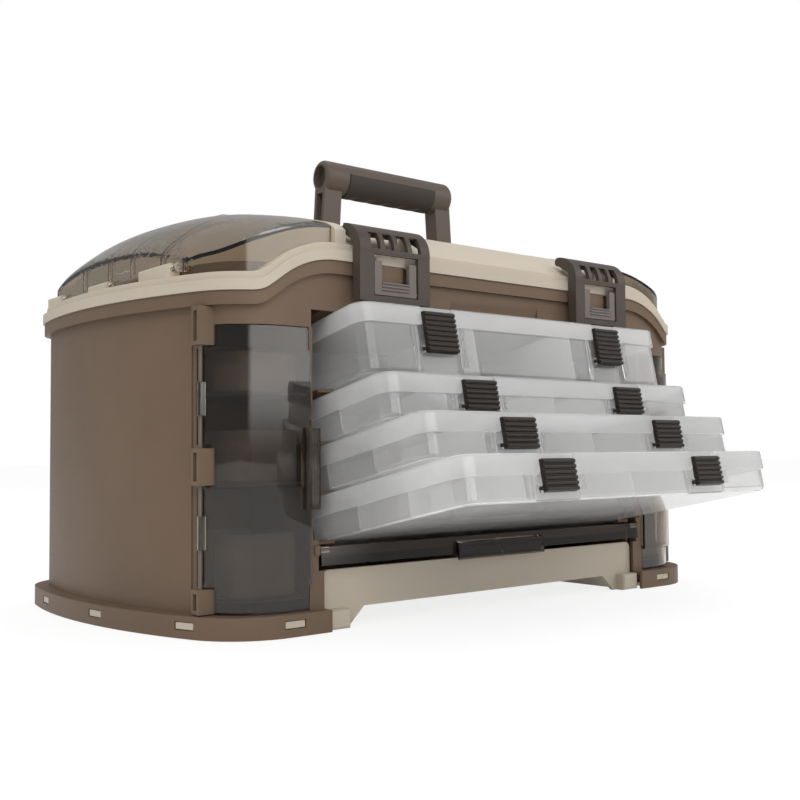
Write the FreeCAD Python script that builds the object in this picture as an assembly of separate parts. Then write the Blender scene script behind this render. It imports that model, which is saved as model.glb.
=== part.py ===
import FreeCAD, Part
import math
import os

# Frame: X to the right, Y to the rear, Z up. Origin on the ground, centred across the width,
# in the plane of the front pillars. All lengths in millimetres.

Vec = FreeCAD.Vector
UP = Vec(0, 0, 1)
ALONG = Vec(0, 1, 0)
ACROSS = Vec(1, 0, 0)

# Plan of the cabinet
skirt_half_width = 300.0
skirt_front = -10.0
skirt_rear = 330.0
side_radius = 450.0
widest_depth = 184.0
corner_radius = 60.0
wall_inset = 10.0
wall_side_inset = 12.0
wall = 3.0
skirt_height = 16.0
flange = 3.0
reach = 500.0
over = 3.0
quarter_turn = 90.0
hinge_strip_rear = 45.0
hinge_strip_deep = 1.2
hinge_strip_top = 237.0

# Seat of the lid on the body
side_seat = 247.0
front_seat = 275.0
seat_flat_half = 170.0
crest_radius = 80.0
foot_radius = 20.0
seat_slope = 36.87
lip_inset = 6.5
lip_height = 10.0
rest_gap = 0.3

# Front of the body
opening_half = 191.0
opening_half_low = 185.0
opening_step = 66.5
opening_top = 237.0
panel_top = 43.5
panel_half = 179.7
door_edge = 193.0
door_opening_bottom = 16.0
door_opening_top = 223.5
door_rear_edge = 36.0
finger_recess_half = 52.0
finger_recess_low = 246.8
finger_recess_high = 256.0
finger_recess_depth = 2.0
finger_recess_roof = 251.0
front_foot_depth = 5.7
front_foot_inner = 159.0
front_foot_height = 14.5
cutout_height = 14.0
cutout_half = 140.0
cutout_foot = 154.4
cutout_rear = 112.0
panel_front = 4.1
panel_back = 7.6
panel_corner = 6.0
pan_low = 2.5
pan_thick = 3.0
tab_long = 16.5
tab_low = 6.6
tab_high = 11.4
slot_margin = 0.8
slot_low = 6.0
slot_high = 12.0
slot_front_inset = 88.0
slot_rear_inset = 150.0
slot_side_depths = [37.2, 138.2, 240.0]
tab_step = 0.6

# Tilted rack
tilt = 11.5
rack_inner = 179.4
rack_wall = 3.0
rack_front = 8.6
rack_step = 64.0
rack_step_front = 19.0
rack_rear = 247.0
rack_top = 242.7
ledge_reach = 13.4
ledge_thick = 2.2
ledge_front = 6.0
ledge_rear = 244.0
back_wall_front = 248.0
back_wall_thick = 3.0
back_window_inner = 20.0
back_window_outer = 152.0
back_wall_top = 187.0
cross_rail_front = 9.0
cross_rail_rear = 13.0
cross_rail_low = 53.0
cross_rail_high = 60.5

# Utility boxes: front and bottom positions measured along and square to the tilted ledges
box_widths = [349.3, 355.6, 355.6, 355.6]
box_depth = 231.8
box_corner = 14.0
deep_height = 53.5
thin_height = 33.2
box_heights = [deep_height, thin_height, thin_height, thin_height]
box_fronts = [83.2, 104.2, 137.4, 167.8]
box_bottoms = [176.4, 137.8, 101.4, 65.0]
box_names = ["top_box", "second_box", "third_box", "bottom_box"]
lid_plate = 1.6
lid_skirt = 15.0
lid_skirt_wall = 1.5
tray_inset = 2.3
tray_wall = 1.6
tray_floor = 1.4
tray_round = 4.0
latch_inner_thin = 70.4
latch_outer_thin = 103.0
latch_inner_deep = 83.2
latch_outer_deep = 114.0
latch_top_drop = 4.4
latch_bottom_thin = 27.5
latch_bottom_deep = 36.7
latch_sheet = 1.5
latch_pivot_in = 1.8
latch_pivot_radius = 3.0
latch_pin_radius = 1.5
latch_pin_reach = 2.3
latch_rib_radius = 1.5
latch_nib = 1.2
latch_nib_height = 2.5
catch_drop = 7.2
catch_height = 1.8
notch_margin = 1.5
notch_depth = 3.0
recess_margin = 5.0
recess_depth = 5.2
lug_thick = 2.4
lug_gap = 0.4
lug_front = 1.2
front_rib_width = 1.2
front_rib_proud = 0.9
rib_pitch = 3.0
running_fit = 0.08
divider_thick = 1.2
divider_gap = 0.4
latch_rib_counts = [8, 6, 6, 6]
row_counts = [2, 4, 4, 4]
divider_counts = [[2, 3], [5, 4, 5, 3], [5, 4, 5, 3], [5, 4, 5, 3]]

# Upper bulk tray
bulk_gap = 3.6
bulk_floor = 2.0
bulk_half = 178.6
bulk_front = 5.5
bulk_rear = 288.0
bulk_wall = 2.0
bulk_rim_top = 245.5
bulk_rim_reach = 183.0
bulk_rim_thick = 2.5

# Corner compartments
liner_inner = 188.3
liner_wall = 2.0
liner_rear = 86.0
liner_front = 4.0
shelf_levels = [24.0, 107.0, 172.0]
liner_top = 230.0
bin_heights = [46.0, 38.0, 30.0]
bin_front = 14.0
bin_rear = 80.0
bin_wall = 1.8
bin_inner = 192.0
bin_outer_inset = 54.0
bin_outer = skirt_half_width - bin_outer_inset
bin_corner = 8.0
partition_share = 0.8

# Corner doors
door_thick = 2.2
door_bulge = 3.5
door_play = 0.7
door_bulges = [(36.0, 106.0), (137.0, 206.5)]
hinge_inset = 34.5
hinge_x = skirt_half_width - hinge_inset
hinge_y = 31.5
hinge_pin_radius = 1.5
knuckle_radius = 3.2
door_knuckles = [(62.0, 86.0), (158.0, 182.0)]
bracket_levels = [(17.0, 34.5), (108.0, 134.5), (208.5, 236.5)]
bracket_reach = 4.5
bracket_outer = hinge_x + bracket_reach
bracket_front = 26.0
bracket_rear = 37.0
bracket_window = 3.0
pull_inner = 187.5
pull_outer = 200.0
pull_low = 89.5
pull_high = 148.8
pull_front = -6.5
pull_back = -3.0
pull_rib_radius = 0.6
pull_rib_count = 3
pull_rib_pitch = 2.2
pull_rib_margin = 4.0

# Front bin and its door
bin_door_half = 184.0
bin_axis_y = 0.8
bin_axis_z = 59.0
bin_door_top = 61.0
bin_door_bottom = 47.5
bin_door_lean = 1.0
bin_door_thick = 2.0
bin_pin_radius = 1.2
bin_knuckle_radius = 2.4
bin_lug_outer = 189.0
bin_lug_inner = 184.6
pull_tab_half = 50.0
pull_tab_bottom = 43.0
pull_tab_top = 58.0
pull_tab_proud = 3.5
front_bin_half = 176.0
front_bin_rear = 108.0
front_bin_front = 8.4
front_bin_low = 17.4
front_bin_top_front = 42.0
front_bin_top_rear = 34.0
front_bin_wall = 2.0

# Lid
lid_lip_inset = 5.0
bead_heights = [8.5, 14.0]
bead_insets = [5.0, 8.5]
inner_wall_inset = 22.0
inner_wall_thick = 2.5
lid_ledge_reach = 12.0
lid_ledge_thick = 2.2
bridge_half = 168.0
bridge_wall = 3.0
bridge_front = 1.0
crown_top = 337.0
crown_depths = [-10.0, -3.0, 6.0, 20.0, 50.0, 85.0, 122.0, 160.0, 198.0, 235.0,
                270.0, 292.0, 308.0, 320.0, 330.0]
crown_heights = [275.0, 285.0, 293.5, 303.0, 315.5, 325.5, 332.0, 335.5, 337.0, 336.5,
                 333.0, 328.0, 318.0, 300.0, 272.0]
dome_front_heights = [285.0, 296.0, 304.0, 309.5, 317.5]
crown_side_insets = [34.0, 38.0, 48.0, 60.0, 75.0, 92.0, 110.0, 135.0, 180.0, 240.0]
crown_falls = [47.0, 40.0, 30.8, 21.8, 13.4, 7.0, 2.6, 0.4, 0.0, 0.0]
shoulder_inner = 158.0
shoulder_lift = 0.35
crown_floor = 200.0
dome_inset = 15.0
dome_half_inset = 35.1
dome_half = skirt_half_width - dome_half_inset
ring_step = 2.9
ring_half = dome_half - ring_step
bridge_rear = 318.0
dome_wall = 2.6
dome_play = 0.6
dome_rib_depths = [96.0, 148.0, 190.5, 242.0]
dome_rib_width = 2.6
dome_rib_deep = 3.0
rod_inset = 30.0
rod_x = skirt_half_width - rod_inset
rod_z = 268.0
rod_radius = 2.0
rod_front = 57.0
rod_rear = 295.0
clip_spans = [(62.0, 111.0), (170.0, 206.0), (265.0, 295.0)]
clip_outer_reach = 5.5
clip_inner_reach = 3.8
clip_outer = rod_x + clip_outer_reach
clip_inner = rod_x - clip_inner_reach
clip_low = 260.0
clip_high = 271.6
clip_inset = 9.0
dome_eyes = [(55.5, 61.5), (163.0, 169.0), (258.0, 264.0)]
dome_eye_radius = 3.8
dome_tab_front = 150.0
dome_tab_rear = 178.0
dome_tab_reach = 11.0
dome_tab_thick = 2.2
lid_tray_low = 249.8
lid_tray_high = 271.0
lid_tray_wall = 2.0
lid_tray_gap = 3.0
lid_tray_divider_depths = [107.0, 184.0, 261.0]
lid_hinge_y = 331.0
lid_hinge_z = 275.15
lid_hinge_radius = 4.5
lid_pin_radius = 2.0
lid_knuckle_spans = [(-140.0, -112.0), (112.0, 140.0)]
body_knuckle_spans = [(-168.0, -141.0), (-111.0, -84.0), (84.0, 111.0), (141.0, 168.0)]
knuckle_play = 0.4

# Handle
pocket_half = 82.5
pocket_front = 137.5
pocket_rear = 235.5
pocket_floor = 303.0
pocket_wall = 3.0
pocket_boss = 6.0
handle_y = 149.5
pivot_z = 322.0
bar_low = 370.0
bar_high = 401.0
bar_deep = 28.0
bar_half = 77.0
leg_foot_outer = 80.5
leg_neck_outer = 76.0
leg_width = 19.0
leg_deep = 16.0
leg_channel = 5.0
leg_channel_deep = 9.0
leg_foot_low = 314.0
pivot_radius = 3.0
pivot_inner = 66.0
pivot_outer = 87.0
end_hollow = 8.0
end_hollow_wall = 2.5
grip_half = 52.0
grip_top = 389.0
grip_proud = 1.2
grip_core = 3.0
grip_gap = 0.1
wave_count = 5
wave_pitch = 19.0
wave_radius = 13.0
wave_deep = 1.6
bar_end_round = 5.0

# Front latches
cover_inner = 87.0
cover_outer = 156.5
cover_front = -15.0
cover_thick = 3.5
cover_bottom = 245.5
cover_shoulder = 282.0
cover_axis_y = 6.0
cover_axis_z = 303.0
cover_eye_radius = 4.0
cover_pin_radius = 1.8
cover_back = -6.0
cover_flank = 4.0
cover_bend_depth_share = 0.24
cover_bend_height_share = 0.70
window_half = 22.0
window_low = 250.0
window_high = 282.0
louvre_count = 4
louvre_wide = 9.0
louvre_pitch = 13.5
louvre_low = 286.0
louvre_high = 299.0
louvre_back = -2.0
plate_half = 20.8
plate_low = 250.8
plate_high = 277.0
plate_front = -14.0
plate_back = -10.6
plate_gap_half = 13.6
plate_gap_low = 261.0
plate_axis_z = 253.6
plate_pin_radius = 1.4
plate_pin_reach = 2.6
plate_rib_radius = 0.9
plate_ribs = [255.0, 257.6, 260.2]
tongue_half = 12.4
tongue_low = 262.0
tongue_front = -7.8
cap_half = 14.0
cap_high = 281.5
cover_lug_offsets = [22.0, 12.0]
cover_lug_thick = 6.0
cover_eye_spans = [(-34.0, -23.0), (-11.0, 11.0), (23.0, 34.0)]
latch_centre = 121.0


def block(x0, x1, y0, y1, z0, z1):
    low = Vec(min(x0, x1), min(y0, y1), min(z0, z1))
    return Part.makeBox(abs(x1 - x0), abs(y1 - y0), abs(z1 - z0), low)


def bar(radius, x0, x1, y, z):
    return Part.makeCylinder(radius, x1 - x0, Vec(x0, y, z), ACROSS)


def rod(radius, y0, y1, x, z):
    return Part.makeCylinder(radius, y1 - y0, Vec(x, y0, z), ALONG)


def post(radius, z0, z1, x, y):
    return Part.makeCylinder(radius, z1 - z0, Vec(x, y, z0), UP)


def polygon(points):
    return Part.makePolygon([Vec(*p) for p in points + points[:1]])


def side_slab(points, x0, x1):
    # outline given as depth and height pairs, swept across the width
    face = Part.Face(polygon([(x0, y, z) for y, z in points]))
    return face.extrude(Vec(x1 - x0, 0, 0))


def front_slab(points, y0, y1):
    # outline given as width and height pairs, swept along the depth
    face = Part.Face(polygon([(x, y0, z) for x, z in points]))
    return face.extrude(Vec(0, y1 - y0, 0))


def join(shapes):
    first = shapes[0]
    return first.multiFuse(shapes[1:]).removeSplitter() if len(shapes) > 1 else first


def mirrored(shape):
    return shape.mirror(Vec(0, 0, 0), ACROSS)


def on_side(shape, side):
    return shape if side > 0 else mirrored(shape)


def corner_points(inset, side_inset, rear):
    # centre, tangent point on the side arc and middle of one rounded corner on the right
    radius = corner_radius - inset
    side = side_radius - side_inset
    centre_x = skirt_half_width - side_radius
    if rear:
        centre_y = skirt_rear - inset - radius
    else:
        centre_y = skirt_front + inset + radius
    gap = side - radius
    rise = centre_y - widest_depth
    run = math.sqrt(gap * gap - rise * rise)
    corner = Vec(centre_x + run, centre_y, 0)
    outward = Vec(run / gap, rise / gap, 0)
    end = Vec(0, 1 if rear else -1, 0)
    middle = (outward + end).normalize()
    return corner, corner + outward * radius, corner + middle * radius, corner + end * radius


def plan_wire(inset, side_inset, z):
    lift = Vec(0, 0, z)
    half = skirt_half_width - side_inset
    front = [p + lift for p in corner_points(inset, side_inset, False)]
    rear = [p + lift for p in corner_points(inset, side_inset, True)]

    def flip(p):
        return Vec(-p.x, p.y, p.z)

    widest = Vec(half, widest_depth, z)
    edges = [
        Part.makeLine(flip(front[3]), front[3]),
        Part.Arc(front[3], front[2], front[1]).toShape(),
        Part.Arc(front[1], widest, rear[1]).toShape(),
        Part.Arc(rear[1], rear[2], rear[3]).toShape(),
        Part.makeLine(rear[3], flip(rear[3])),
        Part.Arc(flip(rear[3]), flip(rear[2]), flip(rear[1])).toShape(),
        Part.Arc(flip(rear[1]), flip(widest), flip(front[1])).toShape(),
        Part.Arc(flip(front[1]), flip(front[2]), flip(front[3])).toShape(),
    ]
    return Part.Wire(edges)


def plan_prism(inset, z0, z1):
    return Part.Face(plan_wire(inset, inset, z0)).extrude(Vec(0, 0, z1 - z0))


def wall_prism(inset, z0, z1):
    # follows the walls of the body, moved inward by inset
    outline = plan_wire(wall_inset + inset, wall_side_inset + inset, z0)
    return Part.Face(outline).extrude(Vec(0, 0, z1 - z0))


def seat_points():
    # centre of the seat curve on the right: foot arc, slope and crest arc
    turn = math.radians(seat_slope)
    crest_run = crest_radius * math.sin(turn)
    crest_fall = crest_radius * (1 - math.cos(turn))
    foot_run = foot_radius * math.sin(turn)
    foot_rise = foot_radius * (1 - math.cos(turn))
    slope_rise = front_seat - side_seat - crest_fall - foot_rise
    slope_run = slope_rise / math.tan(turn)
    half_turn = turn / 2
    a = (seat_flat_half, front_seat)
    b_x = seat_flat_half + crest_radius * math.sin(half_turn)
    b = (b_x, front_seat - crest_radius * (1 - math.cos(half_turn)))
    c = (seat_flat_half + crest_run, front_seat - crest_fall)
    d = (c[0] + slope_run, c[1] - slope_rise)
    f = (d[0] + foot_run, side_seat)
    e = (f[0] - foot_radius * math.sin(half_turn), side_seat + foot_radius * (1 - math.cos(half_turn)))
    return a, b, c, d, e, f


def above_seat(rise):
    # everything higher than the seat curve moved up by rise
    a, b, c, d, e, f = seat_points()

    def at(p, sign):
        return Vec(sign * p[0], -reach, p[1] + rise)

    top = crown_top + reach
    edges = [Part.makeLine(at(a, -1), at(a, 1))]
    for sign in (1, -1):
        edges.append(Part.Arc(at(a, sign), at(b, sign), at(c, sign)).toShape())
        edges.append(Part.makeLine(at(c, sign), at(d, sign)))
        edges.append(Part.Arc(at(d, sign), at(e, sign), at(f, sign)).toShape())
        edges.append(Part.makeLine(at(f, sign), Vec(sign * reach, -reach, side_seat + rise)))
        side_low = Vec(sign * reach, -reach, side_seat + rise)
        edges.append(Part.makeLine(side_low, Vec(sign * reach, -reach, top)))
    edges.append(Part.makeLine(Vec(-reach, -reach, top), Vec(reach, -reach, top)))
    wire = Part.Wire(Part.__sortEdges__(edges))
    return Part.Face(wire).extrude(Vec(0, reach + reach + reach, 0))


def seat_band(low, high):
    return above_seat(low).cut(above_seat(high))


# Body shell

def slot_places():
    # position and outward direction of the slots in the skirt, right side first
    right = []
    right.append((Vec(skirt_half_width - slot_front_inset, skirt_front, 0), Vec(0, -1, 0)))
    centre = Vec(skirt_half_width - side_radius, widest_depth, 0)
    for y in slot_side_depths:
        rise = y - widest_depth
        run = math.sqrt(side_radius * side_radius - rise * rise)
        out = Vec(run, rise, 0).normalize()
        right.append((centre + out * side_radius, out))
    right.append((Vec(skirt_half_width - slot_rear_inset, skirt_rear, 0), Vec(0, 1, 0)))
    left = [(Vec(-p.x, p.y, 0), Vec(-n.x, n.y, 0)) for p, n in right]
    return right + left


def skirt_block(place, out, half_long, depth_in, depth_out, low, high):
    # block lying along the skirt at one slot
    piece = Part.makeBox(half_long + half_long, depth_in + depth_out, high - low)
    piece.translate(Vec(-half_long, -depth_in, low))
    angle = math.degrees(math.atan2(out.y, out.x)) - quarter_turn
    piece.rotate(Vec(0, 0, 0), UP, angle)
    piece.translate(place)
    return piece


def bracket_zones(grow):
    # what the hinge brackets and the ears of wall behind them take from the door opening
    return [block(door_edge, reach, bracket_front - grow, reach, low - grow, high + grow)
            for low, high in bracket_levels]


def door_bracket(low, high):
    root = hinge_x - knuckle_radius - wall - wall
    outer = block(root, bracket_outer, bracket_front, bracket_rear, low, high)
    pocket_low = low + bracket_window
    pocket_high = high - bracket_window
    window = block(bracket_outer - bracket_window, bracket_outer + over, bracket_front + bracket_window,
                   bracket_rear - bracket_window, pocket_low, pocket_high)
    return outer.cut(window)


def hinge_lug(x0, x1, y_root, root_low, root_high, end_low, end_high):
    arm = side_slab([(y_root, root_low), (lid_hinge_y, end_low), (lid_hinge_y, end_high),
                     (y_root, root_high)], x0, x1)
    return arm.fuse(bar(lid_hinge_radius, x0, x1, lid_hinge_y, lid_hinge_z))


def body_shell():
    rim = lip_inset
    hollow = wall_prism(wall, -over, front_seat + over)
    tube = wall_prism(0, skirt_height - flange, front_seat).cut(hollow)
    skirt_wall = plan_prism(0, 0, skirt_height).cut(plan_prism(flange, -flange, skirt_height - flange))
    lip = plan_prism(rim, side_seat - lip_height, front_seat).common(seat_band(-lip_height, 0))
    shell = join([tube, skirt_wall, lip]).cut(hollow).cut(above_seat(0))
    cuts = [block(-opening_half, opening_half, skirt_front - over, wall + over, opening_step, opening_top)]
    cuts.append(block(-opening_half_low, opening_half_low, skirt_front - over, wall + over,
                      panel_top + rest_gap, opening_step + over))
    lower_half = panel_half + rest_gap
    cuts.append(block(-lower_half, lower_half, skirt_front - over, wall + over, -over, panel_top + over))
    cuts.append(side_slab([(-over, finger_recess_low), (-over, finger_recess_high), (0, finger_recess_high),
                           (finger_recess_depth, finger_recess_roof),
                           (finger_recess_depth, finger_recess_low)],
                          -finger_recess_half, finger_recess_half))
    corner = block(door_edge, reach, skirt_front - over, door_rear_edge + door_play,
                   door_opening_bottom, door_opening_top)
    corner = corner.cut(Part.makeCompound(bracket_zones(0)))
    cuts += [corner, mirrored(corner)]
    strip = wall_prism(-over, skirt_height, hinge_strip_top).cut(wall_prism(hinge_strip_deep, 0, front_seat))
    strip = strip.common(block(hinge_x - hinge_y, reach, door_rear_edge, hinge_strip_rear, 0, front_seat))
    cuts += [strip, mirrored(strip)]
    for place, out in slot_places():
        cuts.append(skirt_block(place, out, tab_long / 2 + slot_margin, flange + flange, flange,
                                slot_low, slot_high))
    shell = shell.cut(Part.makeCompound(cuts))
    inner_rib = block(door_edge - wall, door_edge, 0, liner_front, door_opening_bottom, door_opening_top)
    adds = [inner_rib, mirrored(inner_rib)]
    for low, high in bracket_levels:
        bracket = door_bracket(low, high).cut(hollow)
        adds += [bracket, mirrored(bracket)]
    lug_low = bin_axis_z - bin_knuckle_radius - bin_pin_radius
    lug_high = bin_axis_z + bin_knuckle_radius + bin_pin_radius
    lug = block(bin_lug_inner, bin_lug_outer, bin_axis_y - bin_knuckle_radius, wall / 2, lug_low, lug_high)
    adds += [lug, mirrored(lug)]
    for x0, x1 in body_knuckle_spans:
        adds.append(hinge_lug(x0, x1, skirt_rear - rim - wall, front_seat - lip_height, front_seat,
                              lid_hinge_z - lid_hinge_radius, front_seat))
    shell = join([shell] + adds)
    holes = [bar(lid_pin_radius + running_fit, -reach, reach, lid_hinge_y, lid_hinge_z)]
    for side in (-1, 1):
        holes.append(post(hinge_pin_radius + running_fit, bracket_levels[0][0] + wall,
                          bracket_levels[2][1] - wall, side * hinge_x, hinge_y))
    holes.append(bar(bin_pin_radius + running_fit, bin_lug_inner - wall, bin_lug_outer - wall / 2,
                     bin_axis_y, bin_axis_z))
    holes.append(bar(bin_pin_radius + running_fit, wall / 2 - bin_lug_outer, wall - bin_lug_inner,
                     bin_axis_y, bin_axis_z))
    shell = shell.cut(Part.makeCompound(holes))
    clear_gap = rest_gap + rest_gap
    for x0, x1 in lid_knuckle_spans:
        shell = shell.cut(bar(lid_hinge_radius + clear_gap, x0 - knuckle_play, x1 + knuckle_play,
                              lid_hinge_y, lid_hinge_z))
    return shell


def latch_catches():
    # hook plates on the front of the lip, one under each latch
    lip_front = skirt_front + lip_inset
    right = block(latch_centre - tongue_half, latch_centre + tongue_half, tongue_front, lip_front,
                  tongue_low, front_seat)
    return Part.makeCompound([mirrored(right), right])


def cutout_outline(grow):
    # arched gap under the front panel, grown by the thickness of the sheet over it
    top = cutout_height + grow
    return [(-cutout_foot - grow, 0), (-cutout_half - grow, top), (cutout_half + grow, top),
            (cutout_foot + grow, 0)]


def base_pan():
    plate = plan_prism(flange + rest_gap, pan_low, pan_low + pan_thick)
    cut_half = panel_half + rest_gap
    plate = plate.cut(block(-cut_half, cut_half, skirt_front - over, panel_back, -over, panel_top))
    outline = [(-panel_half, 0), (-cutout_foot, 0), (-cutout_half, cutout_height),
               (cutout_half, cutout_height), (cutout_foot, 0), (panel_half, 0),
               (panel_half, panel_top), (-panel_half, panel_top)]
    panel = front_slab(outline, panel_front, panel_back)
    upper = [e for e in panel.Edges if abs(e.Vertexes[0].Y - e.Vertexes[1].Y) > rest_gap
             and min(e.Vertexes[0].Z, e.Vertexes[1].Z) > panel_top - rest_gap]
    panel = panel.makeFillet(panel_corner, upper)
    feet = []
    for side in (-1, 1):
        foot = block(front_foot_inner, panel_half, -front_foot_depth, panel_back, 0, front_foot_height)
        upright = [e for e in foot.Edges if abs(e.Vertexes[0].Y + front_foot_depth) < rest_gap
                   and abs(e.Vertexes[1].Y + front_foot_depth) < rest_gap]
        foot = foot.makeFillet(wall, upright)
        feet.append(on_side(foot, side))
    stem_back = panel_back - rest_gap
    side_stem = block(cutout_half, panel_half, stem_back, panel_back + wall, pan_low, pan_low + pan_thick)
    hat = front_slab(cutout_outline(pan_thick), stem_back, cutout_rear + pan_thick)
    hat = hat.common(block(-reach, reach, -reach, reach, pan_low, reach))
    floor = join([plate, hat, side_stem, mirrored(side_stem)])
    floor = floor.cut(front_slab(cutout_outline(0), panel_front, cutout_rear))
    tabs = []
    for place, out in slot_places():
        stem = skirt_block(place, out, tab_long / 2, flange + flange + flange, -flange - rest_gap,
                           pan_low, tab_high)
        nose = skirt_block(place, out, tab_long / 2, flange + flange, -tab_step, tab_low, tab_high)
        tabs += [stem, nose]
    return join([floor, panel] + feet + tabs)


# Rack and inner fittings

def tilted(shape, forward, height):
    # carry a shape from ledge coordinates to the cabinet
    angle = math.radians(tilt)
    shape = shape.copy()
    shape.rotate(Vec(0, 0, 0), ACROSS, -tilt)
    shape.translate(Vec(0, -forward * math.cos(angle) + height * math.sin(angle),
                        forward * math.sin(angle) + height * math.cos(angle)))
    return shape


def plane_height(level, y):
    # height of the tilted plane at a depth
    angle = math.radians(tilt)
    return level / math.cos(angle) - y * math.tan(angle)


def tilted_strip(x0, x1, low, high, y0, y1):
    return side_slab([(y0, plane_height(low, y0)), (y1, plane_height(low, y1)),
                      (y1, plane_height(high, y1)), (y0, plane_height(high, y0))], x0, x1)


def rack_panel(side):
    low = pan_low + pan_thick + rest_gap
    top_rear = plane_height(box_bottoms[0] + deep_height + ledge_thick, rack_rear)
    outline = [(rack_front, low), (rack_rear, low), (rack_rear, top_rear),
               (rack_step_front + bulk_rim_thick, rack_top), (rack_step_front, rack_top),
               (rack_step_front, rack_step), (rack_front, rack_step)]
    panel = side_slab(outline, rack_inner, rack_inner + rack_wall)
    ledges = []
    for bottom in box_bottoms:
        top = bottom - rest_gap
        ledges.append(tilted_strip(rack_inner - ledge_reach, rack_inner + rack_wall / 2,
                                   top - ledge_thick, top, ledge_front, ledge_rear))
    return on_side(join([panel] + ledges), side)


def rack_back_wall():
    low = pan_low + pan_thick + rest_gap
    back_wall_rear = back_wall_front + back_wall_thick
    wall_plate = block(-rack_inner, rack_inner, back_wall_front, back_wall_rear, low, back_wall_top)
    window_low = box_bottoms[3]
    window_high = box_bottoms[0]
    windows = []
    for side in (-1, 1):
        windows.append(block(side * back_window_inner, side * back_window_outer, back_wall_front - over,
                             back_wall_rear + over, window_low, window_high))
    rail_half = rack_inner - rest_gap
    rail = block(-rail_half, rail_half, back_wall_front - wall * 2, back_wall_rear, low, low + wall)
    return join([wall_plate, rail]).cut(Part.makeCompound(windows))


def rack_cross_rail():
    return block(-rack_inner + rest_gap, rack_inner - rest_gap, cross_rail_front, cross_rail_rear,
                 cross_rail_low, cross_rail_high)


def bulk_tray():
    level = box_bottoms[0] + deep_height + bulk_gap
    rear_drop = rack_rear + wall

    def outline(shrink):
        floor_lift = level + shrink
        front = bulk_front + shrink
        rear = bulk_rear - shrink
        return [(front, plane_height(floor_lift, front)), (rear_drop, plane_height(floor_lift, rear_drop)),
                (rear, plane_height(floor_lift, rear_drop)), (rear, bulk_rim_top), (front, bulk_rim_top)]

    outer = side_slab(outline(0), -bulk_half, bulk_half)
    raised = [(y, z + over if z == bulk_rim_top else z) for y, z in outline(bulk_floor)]
    inner = side_slab(raised, -bulk_half + bulk_wall, bulk_half - bulk_wall)
    rim = block(-bulk_rim_reach, bulk_rim_reach, bulk_front, bulk_rear, bulk_rim_top - bulk_rim_thick,
                bulk_rim_top)
    tray = join([outer, rim]).cut(inner)
    divider = block(-bulk_wall / 2, bulk_wall / 2, bulk_front + bulk_wall / 2, bulk_rear - bulk_wall / 2,
                    plane_height(level, rear_drop), bulk_rim_top - wall)
    return join([tray, divider.common(outer)])


def compartment_space(inset, z0, z1):
    region = block(liner_inner + liner_wall, reach, liner_front, liner_rear - liner_wall, z0, z1)
    return wall_prism(inset, z0, z1).common(region)


def compartment_liner(side):
    low = pan_low + pan_thick + rest_gap
    inner_wall = block(liner_inner, liner_inner + liner_wall, liner_front, liner_rear, low, liner_top)
    back = wall_prism(wall + rest_gap, low, liner_top).common(
        block(liner_inner, reach, liner_rear - liner_wall, liner_rear, low, liner_top))
    shelves = []
    for level in shelf_levels:
        shelf = compartment_space(wall + rest_gap + liner_wall, level, level + liner_wall)
        shelves.append(shelf)
    return on_side(join([inner_wall, back] + shelves), side)


def rounded_block(x0, x1, y0, y1, z0, z1, radius):
    piece = block(x0, x1, y0, y1, z0, z1)
    upright = [e for e in piece.Edges if abs(e.Vertexes[0].Z - e.Vertexes[1].Z) > rest_gap]
    return piece.makeFillet(radius, upright)


def compartment_bins(side):
    solids = []
    for level, tall in zip(shelf_levels, bin_heights):
        low = level + liner_wall + rest_gap
        outer = rounded_block(bin_inner, bin_outer, bin_front, bin_rear, low, low + tall, bin_corner)
        inner = rounded_block(bin_inner + bin_wall, bin_outer - bin_wall, bin_front + bin_wall,
                              bin_rear - bin_wall, low + bin_wall, low + tall + over, bin_corner - bin_wall)
        middle = (bin_front + bin_rear) / 2
        partition = block(bin_inner + bin_wall / 2, bin_outer - bin_wall / 2, middle, middle + bin_wall,
                          low + bin_wall / 2, low + tall * partition_share)
        solids.append(on_side(join([outer.cut(inner), partition]), side))
    return Part.makeCompound(solids)


def front_bin():
    def outline(shrink, top_extra):
        return [(front_bin_front + shrink, front_bin_low + shrink),
                (front_bin_rear - shrink, front_bin_low + shrink),
                (front_bin_rear - shrink, front_bin_top_rear + top_extra),
                (front_bin_front + shrink, front_bin_top_front + top_extra)]

    outer = side_slab(outline(0, 0), -front_bin_half, front_bin_half)
    inner = side_slab(outline(front_bin_wall, over), -front_bin_half + front_bin_wall,
                      front_bin_half - front_bin_wall)
    bin_shell = outer.cut(inner)
    thirds = []
    for x in (-front_bin_half / 3, front_bin_half / 3):
        piece = block(x - front_bin_wall / 2, x + front_bin_wall / 2, front_bin_front, front_bin_rear,
                      front_bin_low, front_bin_top_rear)
        thirds.append(piece.common(outer))
    return join([bin_shell] + thirds)


def lid_hinge_rod():
    reach_x = body_knuckle_spans[3][1]
    left = bar(lid_pin_radius, -reach_x, -body_knuckle_spans[2][0], lid_hinge_y, lid_hinge_z)
    right = bar(lid_pin_radius, body_knuckle_spans[2][0], reach_x, lid_hinge_y, lid_hinge_z)
    return Part.makeCompound([left, right])


def door_hinge_pins():
    solids = []
    for side in (-1, 1):
        solids.append(post(hinge_pin_radius, bracket_levels[0][0] + wall + rest_gap,
                           bracket_levels[2][1] - wall - rest_gap, side * hinge_x, hinge_y))
    return Part.makeCompound(solids)


def bin_door_pins():
    inner = bin_lug_inner - wall * 3
    outer = bin_lug_outer - wall / 2 - rest_gap
    right = bar(bin_pin_radius, inner, outer, bin_axis_y, bin_axis_z)
    return Part.makeCompound([right, mirrored(right)])


# Corner doors

def door_body(inset):
    parts = [wall_prism(inset, door_opening_bottom + door_play, door_opening_top - door_play)]
    for low, high in door_bulges:
        parts.append(wall_prism(inset - door_bulge, low + inset, high - inset))
    return join(parts)


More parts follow.
